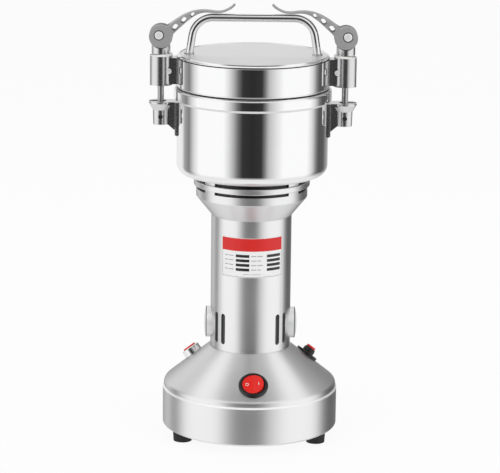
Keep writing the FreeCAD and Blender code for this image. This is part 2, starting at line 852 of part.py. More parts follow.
def blade(bottom, azimuth):
    """An S-shaped bar: each half leans back and narrows to its tip."""
    half = blade_width / 2
    arm = [(0, -half), (blade_radius * 0.45, -half), (blade_radius * 0.96, 0.35 * half),
           (blade_radius * 0.92, 1.7 * half), (blade_radius * 0.5, half * 0.95), (0, half)]
    points = [vector(x, y, bottom) for x, y in arm]
    half_blade = Part.Face(Part.makePolygon(points + [points[0]]))
    half_blade = half_blade.extrude(vector(0, 0, blade_thickness))
    hole = upright(shaft_radius, bottom - 1, bottom + 3)
    whole = half_blade.fuse(turned_to(half_blade, 180)).cut(hole).removeSplitter()
    return turned_to(whole, azimuth)


def blade_nut():
    low = blade_bottom + 2 * blade_thickness + blade_gap
    corners = circle_places(blade_nut_radius, 6, 0)
    hexagon = Part.makePolygon([vector(x, y, low) for x, y in corners + corners[:1]])
    nut = Part.Face(hexagon).extrude(vector(0, 0, blade_nut_height))
    return nut.cut(upright(shaft_radius, low - 1, low + blade_nut_height + 1))


def cone_fitting(flange, body, bore, slant_radius, azimuth):
    """A flange seated on the cone, with a body below it and a bore cut through both."""
    top = on_cone(flange, slant_radius, azimuth).cut(base_envelope())
    low = on_cone(body, slant_radius, azimuth)
    return top.fuse(low).cut(on_cone(bore, slant_radius, azimuth)).removeSplitter()


def switch_bezel():
    flange = turned([(0, -2), (switch_bezel_radius, -2), (switch_bezel_radius, 1.2),
                     (switch_bezel_radius - 1.6, switch_bezel_height, 0.6),
                     (0, switch_bezel_height)])
    body = upright(switch_body_radius, -switch_body_depth, 1)
    well = upright(rocker_radius + rocker_gap, -well_depth, 2 * switch_bezel_height)
    reach = vector(rocker_pivot_reach + loose, 0, 0)
    well = well.fuse(rod(rocker_pivot_radius + running, reach * -1, reach))
    return cone_fitting(flange, body, well, switch_slant_radius, switch_azimuth)


def rocker():
    """The round rocker on its two pivots, dished along its middle, with its left side in."""
    rise = rocker_radius * tan(radians(rocker_dish))
    edge = rocker_radius + 1
    top = slab(outline([
        (-edge, -rocker_depth), (edge, -rocker_depth), (edge, rocker_centre_height + rise),
        (0, rocker_centre_height), (-edge, rocker_centre_height + rise)]), edge)
    body = upright(rocker_radius, -rocker_depth, rocker_radius).common(top)
    body.rotate(vector(0, 0, 0), vector(0, 0, 1), 90)
    reach = vector(rocker_pivot_reach, 0, 0)
    body = body.fuse(rod(rocker_pivot_radius, reach * -1, reach)).removeSplitter()
    body.rotate(vector(0, 0, 0), vector(1, 0, 0), rocker_half_tilt)
    return on_cone(body, switch_slant_radius, switch_azimuth)


def push_button_bezel():
    flange = turned([(0, -2), (button_bezel_radius, -2),
                     (button_bezel_radius, button_bezel_height, 1.0), (0, button_bezel_height)])
    body = upright(button_radius + button_wall, -button_body_depth, 1)
    floor = button_bezel_height + button_proud - button_length - button_stroke - 1
    bore = upright(button_radius + loose, floor, 2 * button_bezel_height)
    return cone_fitting(flange, body, bore, side_slant_radius, 180 - side_azimuth)


def push_button():
    top = button_bezel_height + button_proud
    low = top - button_length
    cap = turned([(0, low), (button_radius, low), (button_radius, top, 0.9), (0, top)])
    return on_cone(cap, side_slant_radius, 180 - side_azimuth)


def overload_body():
    collar = reset_boss_radius - reset_step
    flange = turned([(0, -2), (reset_flange_radius, -2),
                     (reset_flange_radius, reset_flange_height, 0.6),
                     (reset_boss_radius, reset_flange_height),
                     (reset_boss_radius, reset_step_height),
                     (collar, reset_step_height + reset_step), (collar, reset_boss_height),
                     (0, reset_boss_height)])
    body = upright(reset_boss_radius + reset_wall, -reset_body_depth, 1)
    bore = upright(reset_cap_radius + loose, reset_well_floor, 2 * reset_boss_height)
    return cone_fitting(flange, body, bore, side_slant_radius, side_azimuth)


def overload_nut():
    inner = reset_boss_radius + reset_wall
    nut = ring(inner, inner + reset_nut_wall, -reset_nut_drop - reset_nut_height, -reset_nut_drop)
    return on_cone(nut, side_slant_radius, side_azimuth)


def reset_button():
    low = reset_well_floor + reset_stroke + loose
    cap = turned([(0, low), (reset_cap_radius, low), (reset_cap_radius, reset_cap_top, 0.8),
                  (0, reset_cap_top)])
    return on_cone(cap, side_slant_radius, side_azimuth)


def cord_gland():
    flange = turned([(0, -2), (gland_flange, -2), (gland_flange, 2.2, 0.8), (gland_radius, 2.6),
                     (gland_radius - 1.2, gland_length), (0, gland_length)])
    body = upright(gland_neck, -gland_body_depth, 1)
    bore = upright(gland_bore, -2 * gland_body_depth, 2 * gland_length)
    return cone_fitting(flange, body, bore, gland_slant_radius, 90)


os.makedirs("parts", exist_ok=True)

save("base_shell", base_shell())
save("base_plate", base_plate())
save("base_plate_screws", base_plate_screws())
save("rubber_feet", rubber_feet())
save("foot_screws", foot_screws())
save("motor_column", motor_column())
save("label_plate", label_plate())
save("vent_collar", vent_collar())
save("bowl_mount_ring", bowl_mount_ring())
save("grinding_bowl", grinding_bowl())
save("bowl_screws", bowl_screws())
save("clamp_pivot_pins", clamp_pivot_pins())
save("stator_core", stator_core())
save("stator_windings", stator_windings())
save("upper_bracket", upper_bracket())
save("upper_bearing", upper_bearing())
save("lower_bracket", lower_bracket())
save("lower_bearing", lower_bearing())
save("shaft_seal", shaft_seal())
save("brush_holders", brush_holders())
save("carbon_brushes", carbon_brushes())
save("brush_springs", brush_springs())
save("switch_bezel", switch_bezel())
save("overload_body", overload_body())
save("overload_nut", overload_nut())
save("push_button_bezel", push_button_bezel())
save("cord_gland", cord_gland())
save("motor_shaft", motor_shaft())
save("rotor_core", rotor_core())
save("commutator", commutator())
save("cooling_fan", cooling_fan())
save("blade_spacers", blade_spacers())
save("lower_blade", blade(blade_bottom, 20))
save("upper_blade", blade(blade_bottom + blade_thickness + blade_gap, 110))
save("blade_nut", blade_nut())
save("lid_shell", lid_shell())
save("lid_inner_plate", lid_inner_plate())
save("lid_gasket", lid_gasket())
save("lid_handle", lid_handle())
save("lug_rivets", lug_rivets())
save("rocker", rocker())
save("push_button", push_button())
save("reset_button", reset_button())
save_pair("brush_cap", brush_cap())
save_pair("clamp_bracket", clamp_bracket())
save_pair("clamp_bolt", clamp_bolt())
save_pair("clamp_saddle", clamp_saddle())
save_pair("clamp_pad", clamp_pad())
save_pair("cam_lever", cam_lever())
save_pair("lever_pin", lever_pin())
save_pair("lid_lug", lid_lug())
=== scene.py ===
import json
from math import cos, pi, radians, sin, tan

import bmesh
import bpy
from mathutils import Matrix, Quaternion, Vector


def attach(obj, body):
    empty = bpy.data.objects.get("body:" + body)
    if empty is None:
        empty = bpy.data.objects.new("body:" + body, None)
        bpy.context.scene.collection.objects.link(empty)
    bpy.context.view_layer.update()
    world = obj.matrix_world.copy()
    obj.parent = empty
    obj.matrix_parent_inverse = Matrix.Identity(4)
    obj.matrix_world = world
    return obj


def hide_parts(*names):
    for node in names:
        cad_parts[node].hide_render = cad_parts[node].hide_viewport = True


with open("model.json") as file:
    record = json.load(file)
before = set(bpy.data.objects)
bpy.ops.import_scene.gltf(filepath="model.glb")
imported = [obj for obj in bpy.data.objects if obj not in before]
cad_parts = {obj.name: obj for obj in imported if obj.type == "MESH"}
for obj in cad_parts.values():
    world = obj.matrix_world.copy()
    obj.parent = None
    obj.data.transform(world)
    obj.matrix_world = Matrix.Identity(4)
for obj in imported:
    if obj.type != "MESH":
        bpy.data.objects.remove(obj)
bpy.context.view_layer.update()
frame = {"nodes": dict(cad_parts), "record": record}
nodes = frame["nodes"]

# Camera, fitted to the rims of the photograph: metres, lens in millimetres, roll in degrees
CAMERA_PLACE = Vector((-0.0013, -2.6276, 0.8359))
CAMERA_TARGET = Vector((-0.0013, 0.0, 0.2148))
CAMERA_LENS = 182.1
CAMERA_ROLL = 0.65

# Places on the part that the added pieces sit on, from here on in millimetres and degrees

# Lid and its trim: the rim and the dark ring of painted shade under it are (out, up) steps
# from its radius and top, and the dark ring of painted shade at the seam from its radius and foot
LID_RADIUS = 80.0
LID_FOOT = 376.8
LID_TOP = 411.3
LID_RIM = [(-3.2, -0.1), (-2.8, 0.65), (-2.05, 0.8), (-0.87, -0.12), (0.01, -1.33),
           (0.29, -2.91), (-0.1, -3.3), (-2.0, -2.0)]
# A black ring under the rim: painted shade for the shadow gap at the rolled edge
LID_EDGE_SHADE = [(-0.4, -2.9), (0.38, -2.9), (0.3, -1.75), (-0.4, -1.75)]
# A black ring at the seam: painted shade for the dark gap between lid and bowl
SEAM_SHADE_OUTLINE = [(-0.6, -0.2), (0.35, -0.2), (0.35, 0.9), (-0.6, 0.9)]
HEM_RISE = 1.7
HEM_BEAD = 0.75

# Handle: one bent tube on two welds
HANDLE_RADIUS = 4.2
HANDLE_FOOT = 67.3
HANDLE_BAR = 449.8
HANDLE_LEAN = 8.7
HANDLE_BEND = 22.0
HANDLE_WELD = 1.1

# Clamps: lug rivets, lever pins, and the weld beads by their angles and heights
RIVET_PLACE = (88.5, 9.7, 393.9)
RIVET_SINK = 0.35
PIN_PLACE = (98.9, 9.2, 431.5)
DISC_FACE = 8.4
NECK_WELD_ANGLE = 6.6
NECK_WELD_HALF = 0.7
NECK_WELD_HEIGHTS = (380.5, 407.5)
NECK_WELD_OUT = 0.7
PLATE_WELD_HALF = 9.0
PLATE_WELD_HEIGHTS = (325.4, 326.6)
PLATE_WELD_OUT = 1.2
WELD_ROOT = 0.4
# Each domed end or painted shade ring: radius, height of its wall, rise of its crown, and foot
RIVET_HEAD = (3.1, 0.5, 0.6, 0.0)
# The dark discs under the heads are painted shade, the shadow ring round each dome
RIVET_SHADE_RING = (3.9, 0.1, 0.15, -0.8)
PIN_END = (4.25, PIN_PLACE[1] - DISC_FACE, 0.7, 0.1)
PIN_SHADE_RING = (5.3, 0.15, 0.15, -0.3)

# Cam levers: the edges of a side view, as steps inward and up from the cam's middle
CAM_PLACE = (97.0, 430.2)
CAM_RADIUS = 12.4
LEVER_HALF_WIDTH = 8.4
TAIL_HALF_WIDTH = 4.8
LEVER_NARROWS = (15.0, 41.0)
LEVER_CORNER = 0.5
LEVER_WEB = 2.6
LEVER_SIDE = 4.2
HOLLOW_END = 36.0
HOLLOW_CORNER = 0.3
FORK_BACK = 10.6
FORK_HALF_WIDTH = 4.2
FORK_REACH = 30
LEVER_TOP = [(6.2, 10.7), (10.6, 13.3), (16.3, 17.3), (24.5, 22.4), (32.7, 25.9), (40.9, 27.5),
             (49.0, 27.5), (58.9, 26.5), (65.5, 27.3), (72.0, 30.5), (76.6, 34.4)]
LEVER_UNDERSIDE = [(10.0, -2.0), (12.0, 1.0), (14.6, 4.3), (21.3, 10.6), (29.4, 17.5),
                   (37.6, 22.9), (46.0, 25.2), (57.3, 24.8), (65.5, 25.6), (73.4, 29.3),
                   (77.9, 33.1)]
LEVER_KNOTS = 48
# Each hole: inward, up, radius and length
LEVER_HOLES = [(14.9, 9.8, 2.5, 8.0), (23.9, 17.3, 2.3, 7.2), (33.0, 23.0, 1.7, 5.4)]
LEVER_HOLE_TILT = -36.0
HOLE_REACH = 20
HOLE_SIDES = 32

# Vent collar and column: dark sheets behind their slots, painted shade for their dark insides
# Dark sheet behind the vents: painted shade
VENT_SHADE_OUTLINE = [(56.0, 262.5), (57.0, 262.5), (57.0, 284.0), (56.0, 284.0)]
# The sheets behind the column's slots are painted shade
SLOT_SHADE_ANGLES = ((-62, -38), (38, 62))
SLOT_SHADE_HEIGHTS = (101.0, 140.5)
SLOT_SHADE_RADII = (40.6, 41.0)

# Brush caps
CAP_HEIGHT = 120.8
CAP_RADIUS = 16.5
CAP_FOOT = 38.5
CAP_REACH = 49.6
CAP_RISE = 2.9
CAP_SLOT_HALF_LENGTH = 9.0
CAP_SLOT_HALF_WIDTH = 0.9
CAP_SLOT_DEPTH = 1.1

# Label: its areas are angles from its middle and heights
LABEL_RADIUS = 43.25
LABEL_LOW = 180.0
LABEL_HIGH = 222.5
LABEL_HALF_ANGLE = 46.4
LABEL_TURN = 1.8
BAND_LOW = 208.5
BORDER_WIDTH = 0.6
BORDER_HEIGHT = 0.45
ROW_COUNT = 4
FIRST_ROW = 204.8
ROW_PITCH = 4.9
BOX_SPANS = ((-23.5, -4.1), (21.1, 43.0))
BOX_HEIGHT = 3.0
DASH_SPANS = ((-41.0, -35.5), (-34.3, -27.0), (-1.6, 6.0))
LAST_DASH = (7.2, 15.0)
LAST_DASH_CUT = 2.5
DASH_DROPS = (1.9, 1.1)
FOOT_DASHES = [(-13.0, -4.0, 183.3, 183.8), (-2.5, 12.0, 183.3, 183.8)]

# Base: cone, shoulder, bevel and the bottom plate's screws
CONE_SLOPE = 39.2
CONE_TOP = 96.5
CONE_TOP_RADIUS = 43.8
SHOULDER_RADIUS = 92.5
SHOULDER_ROUND = 6.0
SHOULDER_INNER = 84.0
SHOULDER_LIFT = 0.04
SHOULDER_SHEET = 0.6
SHOULDER_UNDER = 50.5
BEVEL_IN = 92.5
BEVEL_OUT = 93.74
BEVEL_FOOT = 46.3
BEVEL_LOW = 50.3
BEVEL_TOP = 52.2
SCREW_CIRCLE = 88.0
SCREW_COUNT = 6
FLUSH_SCREW = [(0, 9.6), (2.4, 9.65), (2.9, 9.9), (2.9, 10.3), (1.5, 11.6), (1.5, 14.5),
               (0, 14.5)]

# Rocker switch: its pivot on the cone, its two raised wings and the marks on them
SWITCH_AZIMUTH = -87.0
SWITCH_SLANT_RADIUS = 75.0
ROCKER_REST = 8.0
ROCKER_WING = 6.0
ROCKER_TOP = 3.0
MARK_PLACE = 6.2
MARK_HEIGHTS = (-0.1, 0.08)
OFF_RADII = (1.25, 1.75)
ON_HALF_LENGTH = 1.7
ON_HALF_WIDTH = 0.28

# Steps round the large rims, where a coarser outline would show
FINE_STEPS = 256


def make_camera():
    data = bpy.data.cameras.new("view")
    data.lens = CAMERA_LENS
    data.sensor_width = 36.0
    data.clip_start = 0.05
    data.clip_end = 100.0
    camera = bpy.data.objects.new("view", data)
    bpy.context.scene.collection.objects.link(camera)
    camera.location = CAMERA_PLACE
    camera.rotation_mode = "QUATERNION"
    aim = (CAMERA_TARGET - CAMERA_PLACE).to_track_quat("-Z", "Y")
    camera.rotation_quaternion = aim @ Quaternion((0, 0, 1), radians(CAMERA_ROLL))
    bpy.context.scene.camera = camera


# ---------------------------------------------------------------- materials

def linear(value):
    """A display grey of 0 to 255 as the light it stands for."""
    value = value / 255.0
    return value / 12.92 if value <= 0.04045 else ((value + 0.055) / 1.055) ** 2.4


def grey(value):
    return (value, value, value, 1.0)


class Maker:
    """Adds nodes to a tree and links them, left to right."""

    def __init__(self, tree):
        self.tree = tree
        tree.nodes.clear()

    def add(self, kind, inputs=None, **settings):
        node = self.tree.nodes.new(kind)
        for key, value in settings.items():
            setattr(node, key, value)
        for key, value in (inputs or {}).items():
            self.feed(node.inputs[key], value)
        return node

    def feed(self, socket, value):
        if isinstance(value, bpy.types.NodeSocket):
            self.tree.links.new(value, socket)
        else:
            socket.default_value = value

    def math(self, operation, a, b=0.0, c=0.0):
        return self.add("ShaderNodeMath", {0: a, 1: b, 2: c}, operation=operation).outputs[0]

    def ramp(self, factor, stops):
        node = self.add("ShaderNodeValToRGB", {"Fac": factor})
        ramp = node.color_ramp
        ramp.interpolation = "LINEAR"
        for _ in range(len(stops) - 2):
            ramp.elements.new(0.5)
        for element, (place, value) in zip(ramp.elements, stops):
            element.position = place
            element.color = grey(value)
        return node.outputs["Color"]

    def mix(self, factor, a, b):
        node = self.add("ShaderNodeMix", data_type="RGBA")
        for name, value in (("Factor", factor), ("A", a), ("B", b)):
            self.feed([s for s in node.inputs if s.name == name and s.enabled][0], value)
        return [s for s in node.outputs if s.enabled][0]


def new_material(name):
    material = bpy.data.materials.new(name)
    material.use_nodes = True
    return material, Maker(material.node_tree)


def metal(name, colour, roughness, anisotropy=0.0, brush=None, depth=0.0, wear=0.04,
          flat_roughness=None, metallic=1.0, edge_tint=1.0):
    """Steel: faintly mottled colour, uneven roughness and brush lines round the Z axis.

    With flat_roughness, faces that look up or down are brushed to that roughness.
    """
    material, make = new_material(name)
    coordinates = make.add("ShaderNodeTexCoord").outputs
    place = coordinates["Object"]
    cloud = make.add("ShaderNodeTexNoise", {"Vector": place, "Scale": 22.0, "Detail": 3.0})
    tint = make.mix(cloud.outputs["Fac"], [c * (1 - wear) for c in colour] + [1.0],
                    list(colour) + [1.0])
    spread = make.add("ShaderNodeMapRange", {
        "Value": cloud.outputs["Fac"], "From Min": 0.3, "From Max": 0.7,
        "To Min": roughness * 0.95, "To Max": roughness * 1.05}).outputs[0]
    if flat_roughness is not None:
        up = make.add("ShaderNodeSeparateXYZ", {0: coordinates["Normal"]}).outputs["Z"]
        # Faces that look down count from a lesser tilt, hence the factor over 1
        down = make.math("MULTIPLY", make.math("MINIMUM", up, 0.0), -1.4)
        share = make.add("ShaderNodeMapRange", {
            "Value": make.math("MAXIMUM", up, down), "From Min": 0.8, "From Max": 0.97,
            "To Min": 0.0, "To Max": flat_roughness - roughness}).outputs[0]
        spread = make.math("ADD", spread, share)
    shader = make.add("ShaderNodeBsdfPrincipled", {
        "Base Color": tint, "Metallic": metallic, "Roughness": spread,
        "Anisotropic": anisotropy, "Anisotropic Rotation": 0.25 if anisotropy else 0.0,
        "Specular Tint": grey(edge_tint)})
    if anisotropy:
        around = make.add("ShaderNodeTangent", direction_type="RADIAL", axis="Z")
        make.feed(shader.inputs["Tangent"], around.outputs[0])
    if brush:
        lines = make.add("ShaderNodeMapping", {"Vector": place, "Scale": brush})
        grain = make.add("ShaderNodeTexNoise", {"Vector": lines.outputs[0], "Scale": 1.0,
                                                "Detail": 4.0, "Roughness": 0.7})
        bump = make.add("ShaderNodeBump", {"Height": grain.outputs["Fac"], "Strength": 0.25,
                                           "Distance": depth})
        make.feed(shader.inputs["Normal"], bump.outputs[0])
    make.add("ShaderNodeOutputMaterial", {"Surface": shader.outputs[0]})
    return material


def moulded(name, colour, roughness, coat=0.0, mottle=0.06):
    """Plastic, rubber or print: slight colour variation and a fine grain in the surface."""
    material, make = new_material(name)
    place = make.add("ShaderNodeTexCoord").outputs["Object"]
    cloud = make.add("ShaderNodeTexNoise", {"Vector": place, "Scale": 90.0, "Detail": 2.0})
    tint = make.mix(cloud.outputs["Fac"], [c * (1 - mottle) for c in colour] + [1.0],
                    [min(1.0, c * (1 + mottle)) for c in colour] + [1.0])
    fine = make.add("ShaderNodeTexNoise", {"Vector": place, "Scale": 600.0, "Detail": 2.0})
    bump = make.add("ShaderNodeBump", {"Height": fine.outputs["Fac"], "Strength": 0.3,
                                       "Distance": 0.00004})
    shader = make.add("ShaderNodeBsdfPrincipled", {
        "Base Color": tint, "Roughness": roughness, "Coat Weight": coat,
        "Coat Roughness": 0.05, "Specular IOR Level": 0.5, "Normal": bump.outputs[0]})
    make.add("ShaderNodeOutputMaterial", {"Surface": shader.outputs[0]})
    return material


# The brush that draws lines round Z, as noise scales along the axes
AROUND = (40.0, 40.0, 2600.0)
# The colour of the brightest steel
STEEL = (0.93, 0.93, 0.935)
materials = {
    "polished_steel": metal("polished_steel", STEEL, 0.07, brush=AROUND, depth=0.000004,
                            flat_roughness=0.42),
    "satin_steel": metal("satin_steel", (0.9, 0.9, 0.905), 0.34, 0.65, AROUND, 0.00002,
                         edge_tint=0.45),
    "clamp_steel": metal("clamp_steel", (0.74, 0.74, 0.745), 0.22, brush=AROUND,
                         depth=0.00001),
    "bright_steel": metal("bright_steel", (0.92, 0.92, 0.925), 0.06),
    "cast_metal": metal("cast_metal", (0.42, 0.42, 0.425), 0.5, brush=(500.0, 500.0, 500.0),
                        depth=0.00006, wear=0.12, metallic=0.3),
    "pad_white": moulded("pad_white", (0.86, 0.86, 0.84), 0.45),
    "black_plastic": moulded("black_plastic", (0.012, 0.012, 0.013), 0.3, mottle=0.2),
    "red_plastic": moulded("red_plastic", (0.80, 0.016, 0.01), 0.25, coat=0.25),
    "black_rubber": moulded("black_rubber", (0.018, 0.018, 0.018), 0.7, mottle=0.3),
    "gasket_silicone": moulded("gasket_silicone", (0.8, 0.8, 0.78), 0.5),
    "label_film": moulded("label_film", (0.92, 0.92, 0.92), 0.4, mottle=0.02),
    "inner_steel": metal("inner_steel", (0.62, 0.62, 0.63), 0.3, brush=AROUND, depth=0.00002),
    "cast_aluminium": metal("cast_aluminium", (0.6, 0.6, 0.62), 0.45,
                            brush=(300.0, 300.0, 300.0), depth=0.00008, wear=0.1),
    "core_iron": metal("core_iron", (0.2, 0.2, 0.21), 0.5, brush=(10.0, 10.0, 4000.0),
                       depth=0.00005, wear=0.2),
    "winding_copper": metal("winding_copper", (0.72, 0.35, 0.18), 0.35,
                            brush=(10.0, 10.0, 1500.0), depth=0.0001, wear=0.2),
    "brush_carbon": moulded("brush_carbon", (0.03, 0.03, 0.03), 0.6, mottle=0.3),
}
# Dark steel: the screws' own finish, and painted shade on the rings under the lid rim and the
# domed heads
dark_steel_and_painted_shade = metal("dark_steel_and_painted_shade", (0.05, 0.05, 0.05), 0.5, metallic=0.6)
rod_steel = metal("rod_steel", (0.5, 0.5, 0.505), 0.28)
frosted_steel = metal("frosted_steel", STEEL, 0.4, metallic=0.35)
weld_steel = metal("weld_steel", (0.62, 0.62, 0.62), 0.4, brush=(900.0, 900.0, 900.0),
                   depth=0.0002, wear=0.2)
bevel_steel = metal("bevel_steel", (0.97, 0.97, 0.97), 0.3, metallic=0.4)
# Near-black grey of the sheets behind the column's slots: painted shade
slot_shade_grey = moulded("slot_shade_grey", (0.06, 0.06, 0.062), 0.6)
red_print = moulded("red_print", (0.72, 0.015, 0.012), 0.4)
black_print = moulded("black_print", (0.02, 0.02, 0.02), 0.4)
grey_print = moulded("grey_print", (0.35, 0.35, 0.35), 0.4)
white_print = moulded("white_print", (0.85, 0.85, 0.84), 0.4)

# CAD nodes with a finish of their own
NODE_FINISH = {"foot_screws": dark_steel_and_painted_shade, "clamp_bolt_left": rod_steel,
               "clamp_bolt_right": rod_steel}


def dress_nodes():
    for subpart in frame["record"]["subparts"]:
        piece = nodes[subpart["node"]]
        piece.data.materials.clear()
        piece.data.materials.append(
            NODE_FINISH.get(subpart["node"], materials[subpart["material_slot"]]))


# ---------------------------------------------------------------- mesh helpers, in millimetres

def mesh_piece(name, points, faces, material, slot, body, sharp=35.0):
    """A piece from points in millimetres: smooth, with its edges over the sharp angle kept."""
    mesh = bpy.data.meshes.new(name)
    mesh.from_pydata([Vector(p) * 0.001 for p in points], [], faces)
    shaped = bmesh.new()
    shaped.from_mesh(mesh)
    bmesh.ops.remove_doubles(shaped, verts=shaped.verts, dist=1e-7)
    bmesh.ops.recalc_face_normals(shaped, faces=shaped.faces)
    shaped.to_mesh(mesh)
    shaped.free()
    mesh.polygons.foreach_set("use_smooth", [True] * len(mesh.polygons))
    mesh.set_sharp_from_angle(angle=radians(sharp))
    mesh.materials.append(material)
    piece = bpy.data.objects.new(name, mesh)
    bpy.context.scene.collection.objects.link(piece)
    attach(piece, body)
    return piece


def joined(*shapes):
    """Several (points, faces) shapes as one."""
    points, faces = [], []
    for more_points, more_faces in shapes:
        start = len(points)
        points += list(more_points)
        faces += [[i + start for i in face] for face in more_faces]
    return points, faces


def moved(shape, place):
    return [place @ Vector(p) for p in shape[0]], shape[1]


def mirrored(shape):
    """The shape on the other side of the part's middle."""
    return [Vector((-p[0], p[1], p[2])) for p in shape[0]], shape[1]


def outline(steps, radius, height):
    """The (radius, height) points of an outline told in (out, up) steps."""
    return [(radius + out, height + up) for out, up in steps]


def lathe(profile, steps=160):
    """A closed outline of (radius, height) turned about Z; radius 0 closes it on the axis."""
    points, faces = [], []
    count = len(profile)
    for step in range(steps):
        turn = 2 * pi * step / steps
        points += [(r * cos(turn), r * sin(turn), z) for r, z in profile]
    for step in range(steps):
        here, there = step * count, (step + 1) % steps * count
        for i in range(count):
            j = (i + 1) % count
            corners = [here + i, there + i, there + j, here + j]
            if profile[i][0] == 0:
                corners.remove(there + i)
            if profile[j][0] == 0:
                corners.remove(there + j)
            if len(corners) > 2:
                faces.append(corners)
    return points, faces


def ring(radius, height, bead, steps=160, sides=16):
    """A round bead about Z."""
    turns = [2 * pi * i / sides for i in range(sides)]
    return lathe([(radius + bead * cos(a), height + bead * sin(a)) for a in turns], steps)


def dome(radius, height, rise, foot=0.0, steps=48, rings=8):
    """A domed head about Z: a wall from the foot up to a height, then a round crown."""
    arc = [(radius * cos(i / rings * pi / 2), height + rise * sin(i / rings * pi / 2))
           for i in range(rings)]
    return lathe([(0, foot), (radius, foot)] + arc + [(0, height + rise)], steps)


def tube(path, radius, sides=28):
    """A round tube along a path in the XZ plane, closed at both ends."""
    points, faces = [], []
    across = Vector((0, 1, 0))
    for i, centre in enumerate(path):
        ahead = path[min(i + 1, len(path) - 1)] - path[max(i - 1, 0)]
        side = across.cross(ahead).normalized()
        points += [centre + radius * (cos(2 * pi * k / sides) * across
                                      + sin(2 * pi * k / sides) * side) for k in range(sides)]
    for i in range(len(path) - 1):
        for k in range(sides):
            j = (k + 1) % sides
            faces.append([i * sides + k, i * sides + j, (i + 1) * sides + j, (i + 1) * sides + k])
    last = (len(path) - 1) * sides
    faces.append(list(range(sides)))
    faces.append(list(range(last, last + sides)))
    return points, faces


def curved_patch(low_angle, high_angle, low, high, inner, outer, steps=40):
    """A thin sheet bent round Z, between two angles, two heights and two radii."""
    count = max(1, int(steps * (high_angle - low_angle) / 90) + 1)
    points, faces = [], []
    for i in range(count + 1):
        turn = radians(low_angle + (high_angle - low_angle) * i / count)
        for r, z in ((inner, low), (outer, low), (outer, high), (inner, high)):
            points.append((r * cos(turn), r * sin(turn), z))
    for i in range(count):
        for k in range(4):
            j = (k + 1) % 4
            faces.append([4 * i + k, 4 * i + j, 4 * i + 4 + j, 4 * i + 4 + k])
    faces.append([0, 1, 2, 3])
    faces.append([4 * count + k for k in range(4)])
    return points, faces


def block(low, high):
    """A box between two opposite corners."""
    points = [(x, y, z) for z in (low[2], high[2]) for x, y in (
        (low[0], low[1]), (high[0], low[1]), (high[0], high[1]), (low[0], high[1]))]
    return points, [(0, 3, 2, 1), (4, 5, 6, 7), (0, 1, 5, 4), (1, 2, 6, 5), (2, 3, 7, 6),
                    (3, 0, 4, 7)]


def carve(base, steps):
    """The base shape after each step joins another shape to it or cuts one away."""
    works = []
    for points, faces in [base] + [shape for _, shape in steps]:
        mesh = bpy.data.meshes.new("work")
        mesh.from_pydata([Vector(p) for p in points], [], faces)
        closed = bmesh.new()
        closed.from_mesh(mesh)
        bmesh.ops.remove_doubles(closed, verts=closed.verts, dist=1e-5)
        bmesh.ops.recalc_face_normals(closed, faces=closed.faces)
        closed.to_mesh(mesh)
        closed.free()
        works.append(bpy.data.objects.new("work", mesh))
        bpy.context.scene.collection.objects.link(works[-1])
    for (operation, _), other in zip(steps, works[1:]):
        step = works[0].modifiers.new(operation, "BOOLEAN")
        step.operation, step.solver, step.object = operation, "EXACT", other
    shaped = works[0].evaluated_get(bpy.context.evaluated_depsgraph_get())
    result = bpy.data.meshes.new_from_object(shaped)
    points = [v.co.copy() for v in result.vertices]
    faces = [list(p.vertices) for p in result.polygons]
    for work in works:
        bpy.data.objects.remove(work)
    return points, faces


def cone_height(radius):
    """The height of the base's cone at a radius."""
    return CONE_TOP - (radius - CONE_TOP_RADIUS) * tan(radians(CONE_SLOPE))


def facing(x, y, z, direction):
    """The frame at a point whose own Z looks along a direction."""
    turn = Vector(direction).to_track_quat("Z", "Y")
    return Matrix.Translation((x, y, z)) @ turn.to_matrix().to_4x4()


# ---------------------------------------------------------------- added pieces

def make_lid_trim():
    """The rolled rim, the hem where the lid meets the bowl, and dark rings of painted shade at
    both.
    """
    rim = lathe(outline(LID_RIM, LID_RADIUS, LID_TOP), FINE_STEPS)
    mesh_piece("lid_edge_rim", *rim, materials["bright_steel"], "bright_steel", "lid", sharp=10)
    # Black ring under the rim: painted shade for the shadow gap at the rolled edge
    edge_shade = lathe(outline(LID_EDGE_SHADE, LID_RADIUS, LID_TOP), FINE_STEPS)
    mesh_piece("lid_edge_painted_shade", *edge_shade, dark_steel_and_painted_shade, "bright_steel", "lid")
    # Black ring at the seam: painted shade for the dark gap between lid and bowl
    seam_shade = lathe(outline(SEAM_SHADE_OUTLINE, LID_RADIUS, LID_FOOT))
    mesh_piece("lid_seam_painted_shade", *seam_shade, materials["black_rubber"], "black_rubber", "lid")
    hem = ring(LID_RADIUS - 0.1, LID_FOOT + HEM_RISE, HEM_BEAD)
    mesh_piece("lid_foot_hem", *hem, materials["polished_steel"], "polished_steel", "lid",
               sharp=80)


def make_vent_shade():
    """Dark sheet behind the collar's two rows of vents, painted shade for the dark inside."""
    mesh_piece("vent_painted_shade", *lathe(VENT_SHADE_OUTLINE), materials["black_plastic"], "black_plastic",
               "base")


def shoulder_arc():
    """The rounded corner between the cone and the base's wall, from the wall up."""
    turn = pi / 2 - radians(CONE_SLOPE)
    middle_radius = SHOULDER_RADIUS - SHOULDER_ROUND
    middle_height = cone_height(SHOULDER_RADIUS) - SHOULDER_ROUND * tan(turn / 2)
    return [(middle_radius + SHOULDER_ROUND * cos(a), middle_height + SHOULDER_ROUND * sin(a))
            for a in (turn * i / 12 for i in range(13))]


